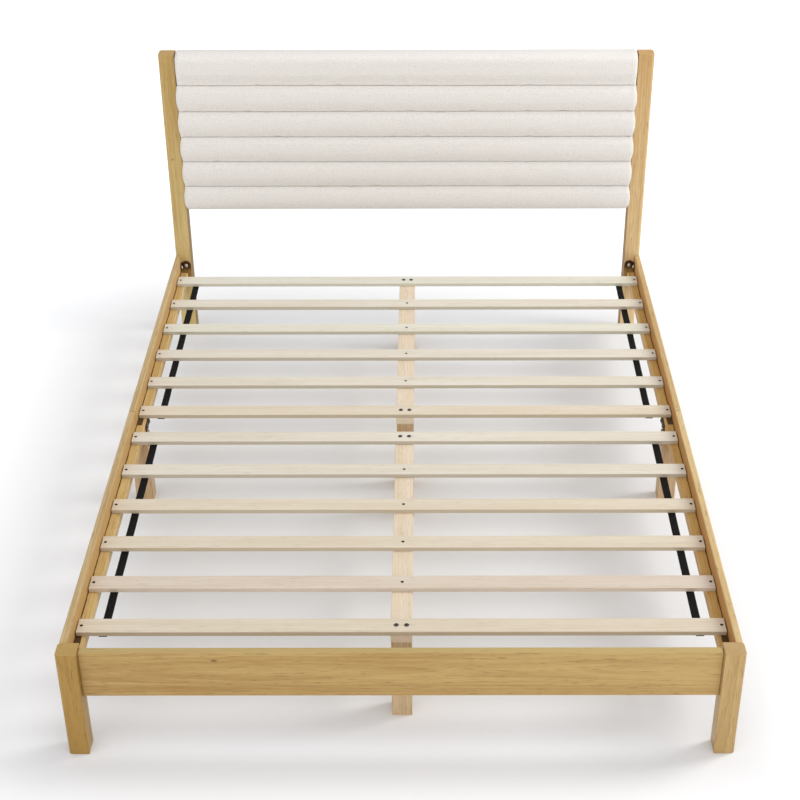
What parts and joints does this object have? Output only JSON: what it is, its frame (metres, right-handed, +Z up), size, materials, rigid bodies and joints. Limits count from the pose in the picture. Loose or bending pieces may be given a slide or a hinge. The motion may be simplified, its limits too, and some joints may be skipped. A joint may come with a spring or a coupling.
{
  "type": "bed frame",
  "caption": "Solid-wood platform bed frame with roll-out slats on side ledgers, centre beams on legs, and a channelled fabric headboard.",
  "frame": {"origin": "on the floor, below the middle of the frame's footprint", "axes": "+X to the right seen from the foot, +Y from foot to head, +Z up"},
  "size_m": [1.6, 2.16, 1.026],
  "materials": {
    "frame_wood": "clear satin lacquer on pine",
    "slat_wood": "planed, unfinished pale pine",
    "support_wood": "planed pine",
    "inner_wood": "raw plywood and pine",
    "upholstery": "off-white nubby weave over foam",
    "back_cover": "flat woven cloth",
    "webbing": "black woven polyester tape",
    "bronze_steel": "dark bronze satin coating",
    "bolt_steel": "dark zinc",
    "black_screw": "black phosphate",
    "zinc_steel": "bright zinc"
  },
  "bodies": {
    "root": {"board_screws": "black_screw", "bracket_bolts": "bolt_steel", "bracket_inserts": "zinc_steel", "centre_beam_foot": "support_wood", "centre_beam_head": "support_wood", "centre_leg_1": "support_wood", "centre_leg_2": "support_wood", "centre_leg_3": "support_wood", "centre_leg_4": "support_wood", "centre_leg_bolts": "bolt_steel", "channel_1": "upholstery", "channel_2": "upholstery", "channel_3": "upholstery", "channel_4": "upholstery", "channel_5": "upholstery", "channel_6": "upholstery", "corner_bracket_foot_left": "bronze_steel", "corner_bracket_foot_right": "bronze_steel", "corner_bracket_head_left": "bronze_steel", "corner_bracket_head_right": "bronze_steel", "dowels": "inner_wood", "foot_panel": "frame_wood", "foot_post_left": "frame_wood", "foot_post_right": "frame_wood", "head_post_left": "frame_wood", "head_post_right": "frame_wood", "headboard_back_cover": "back_cover", "headboard_board": "inner_wood", "headboard_bottom_batten": "inner_wood", "headboard_top_batten": "inner_wood", "ledger_left_foot": "support_wood", "ledger_left_head": "support_wood", "ledger_right_foot": "support_wood", "ledger_right_head": "support_wood", "mid_leg_left": "frame_wood", "mid_leg_right": "frame_wood", "rail_joint_bolts": "bolt_steel", "rail_joint_plates": "bronze_steel", "side_rail_left_foot": "frame_wood", "side_rail_left_head": "frame_wood", "side_rail_right_foot": "frame_wood", "side_rail_right_head": "frame_wood", "slat_01": "slat_wood", "slat_02": "slat_wood", "slat_03": "slat_wood", "slat_04": "slat_wood", "slat_05": "slat_wood", "slat_06": "slat_wood", "slat_07": "slat_wood", "slat_08": "slat_wood", "slat_09": "slat_wood", "slat_10": "slat_wood", "slat_11": "slat_wood", "slat_12": "slat_wood", "slat_screws": "black_screw", "strap_staples": "zinc_steel", "webbing_strap_left_foot": "webbing", "webbing_strap_left_head": "webbing", "webbing_strap_right_foot": "webbing", "webbing_strap_right_head": "webbing"}
  },
  "joints": []
}
